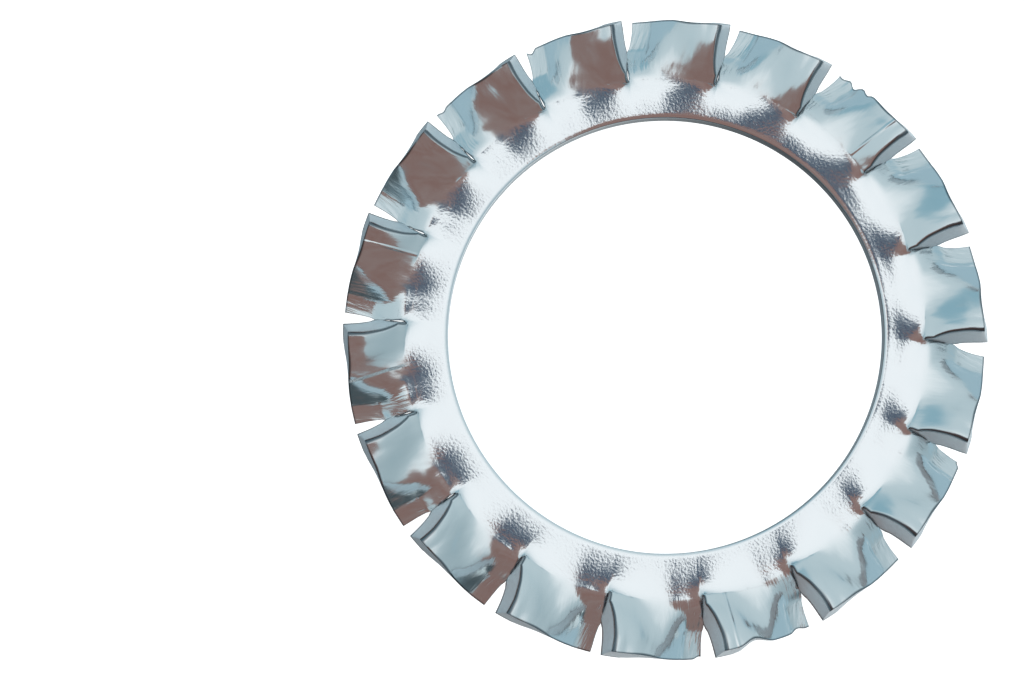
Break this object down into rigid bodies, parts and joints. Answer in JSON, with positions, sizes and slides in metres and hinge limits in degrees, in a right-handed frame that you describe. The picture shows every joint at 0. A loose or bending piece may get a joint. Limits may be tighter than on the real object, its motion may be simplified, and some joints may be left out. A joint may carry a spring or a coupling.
{
  "type": "serrated external-tooth lock washer",
  "caption": "Flat spring-steel ring whose rim is cut into overlapping twisted teeth that bite on both faces, to stop a screw or nut from working loose.",
  "frame": {"origin": "on the bore axis, in the plane that the lowest tooth corners rest on", "axes": "+Z along the bore axis, away from the surface the washer lies on; +X along the mid-line of one tooth"},
  "size_m": [0.0254, 0.0254, 0.0036],
  "materials": {
    "zinc_plated_steel": "bright blue-passivated zinc plating, burnished on the teeth and finely grained on the ring"
  },
  "bodies": {
    "root": {"lock_washer": "zinc_plated_steel"}
  },
  "joints": []
}
